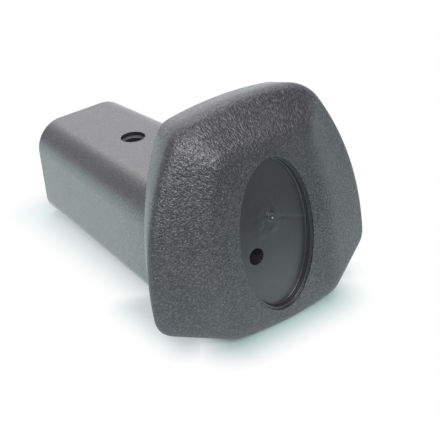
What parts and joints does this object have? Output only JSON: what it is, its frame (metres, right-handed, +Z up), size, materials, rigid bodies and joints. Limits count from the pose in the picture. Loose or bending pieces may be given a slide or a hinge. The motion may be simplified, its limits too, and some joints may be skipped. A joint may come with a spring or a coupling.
{
  "type": "gear shift knob",
  "caption": "One-piece moulded shift knob: faceted head with an oval recess for an insert, flared into a squared hollow stem that takes the lever.",
  "frame": {"origin": "centre of the bounding box on the surface that the knob lies on, as it comes to rest on the foot of its head and the lower edge of its stem's end", "axes": "+Z up; -Y toward the viewer of the face, the face leaning back 6 degrees; +Y back along the stem, which lies within a degree of level; +X to the right of the face"},
  "size_m": [0.0604, 0.0848, 0.0519],
  "materials": {
    "moulded_plastic": "satin charcoal plastic, finely grained on the head and smooth on the stem and in the recess"
  },
  "bodies": {
    "root": {"shift_knob": "moulded_plastic"}
  },
  "joints": []
}
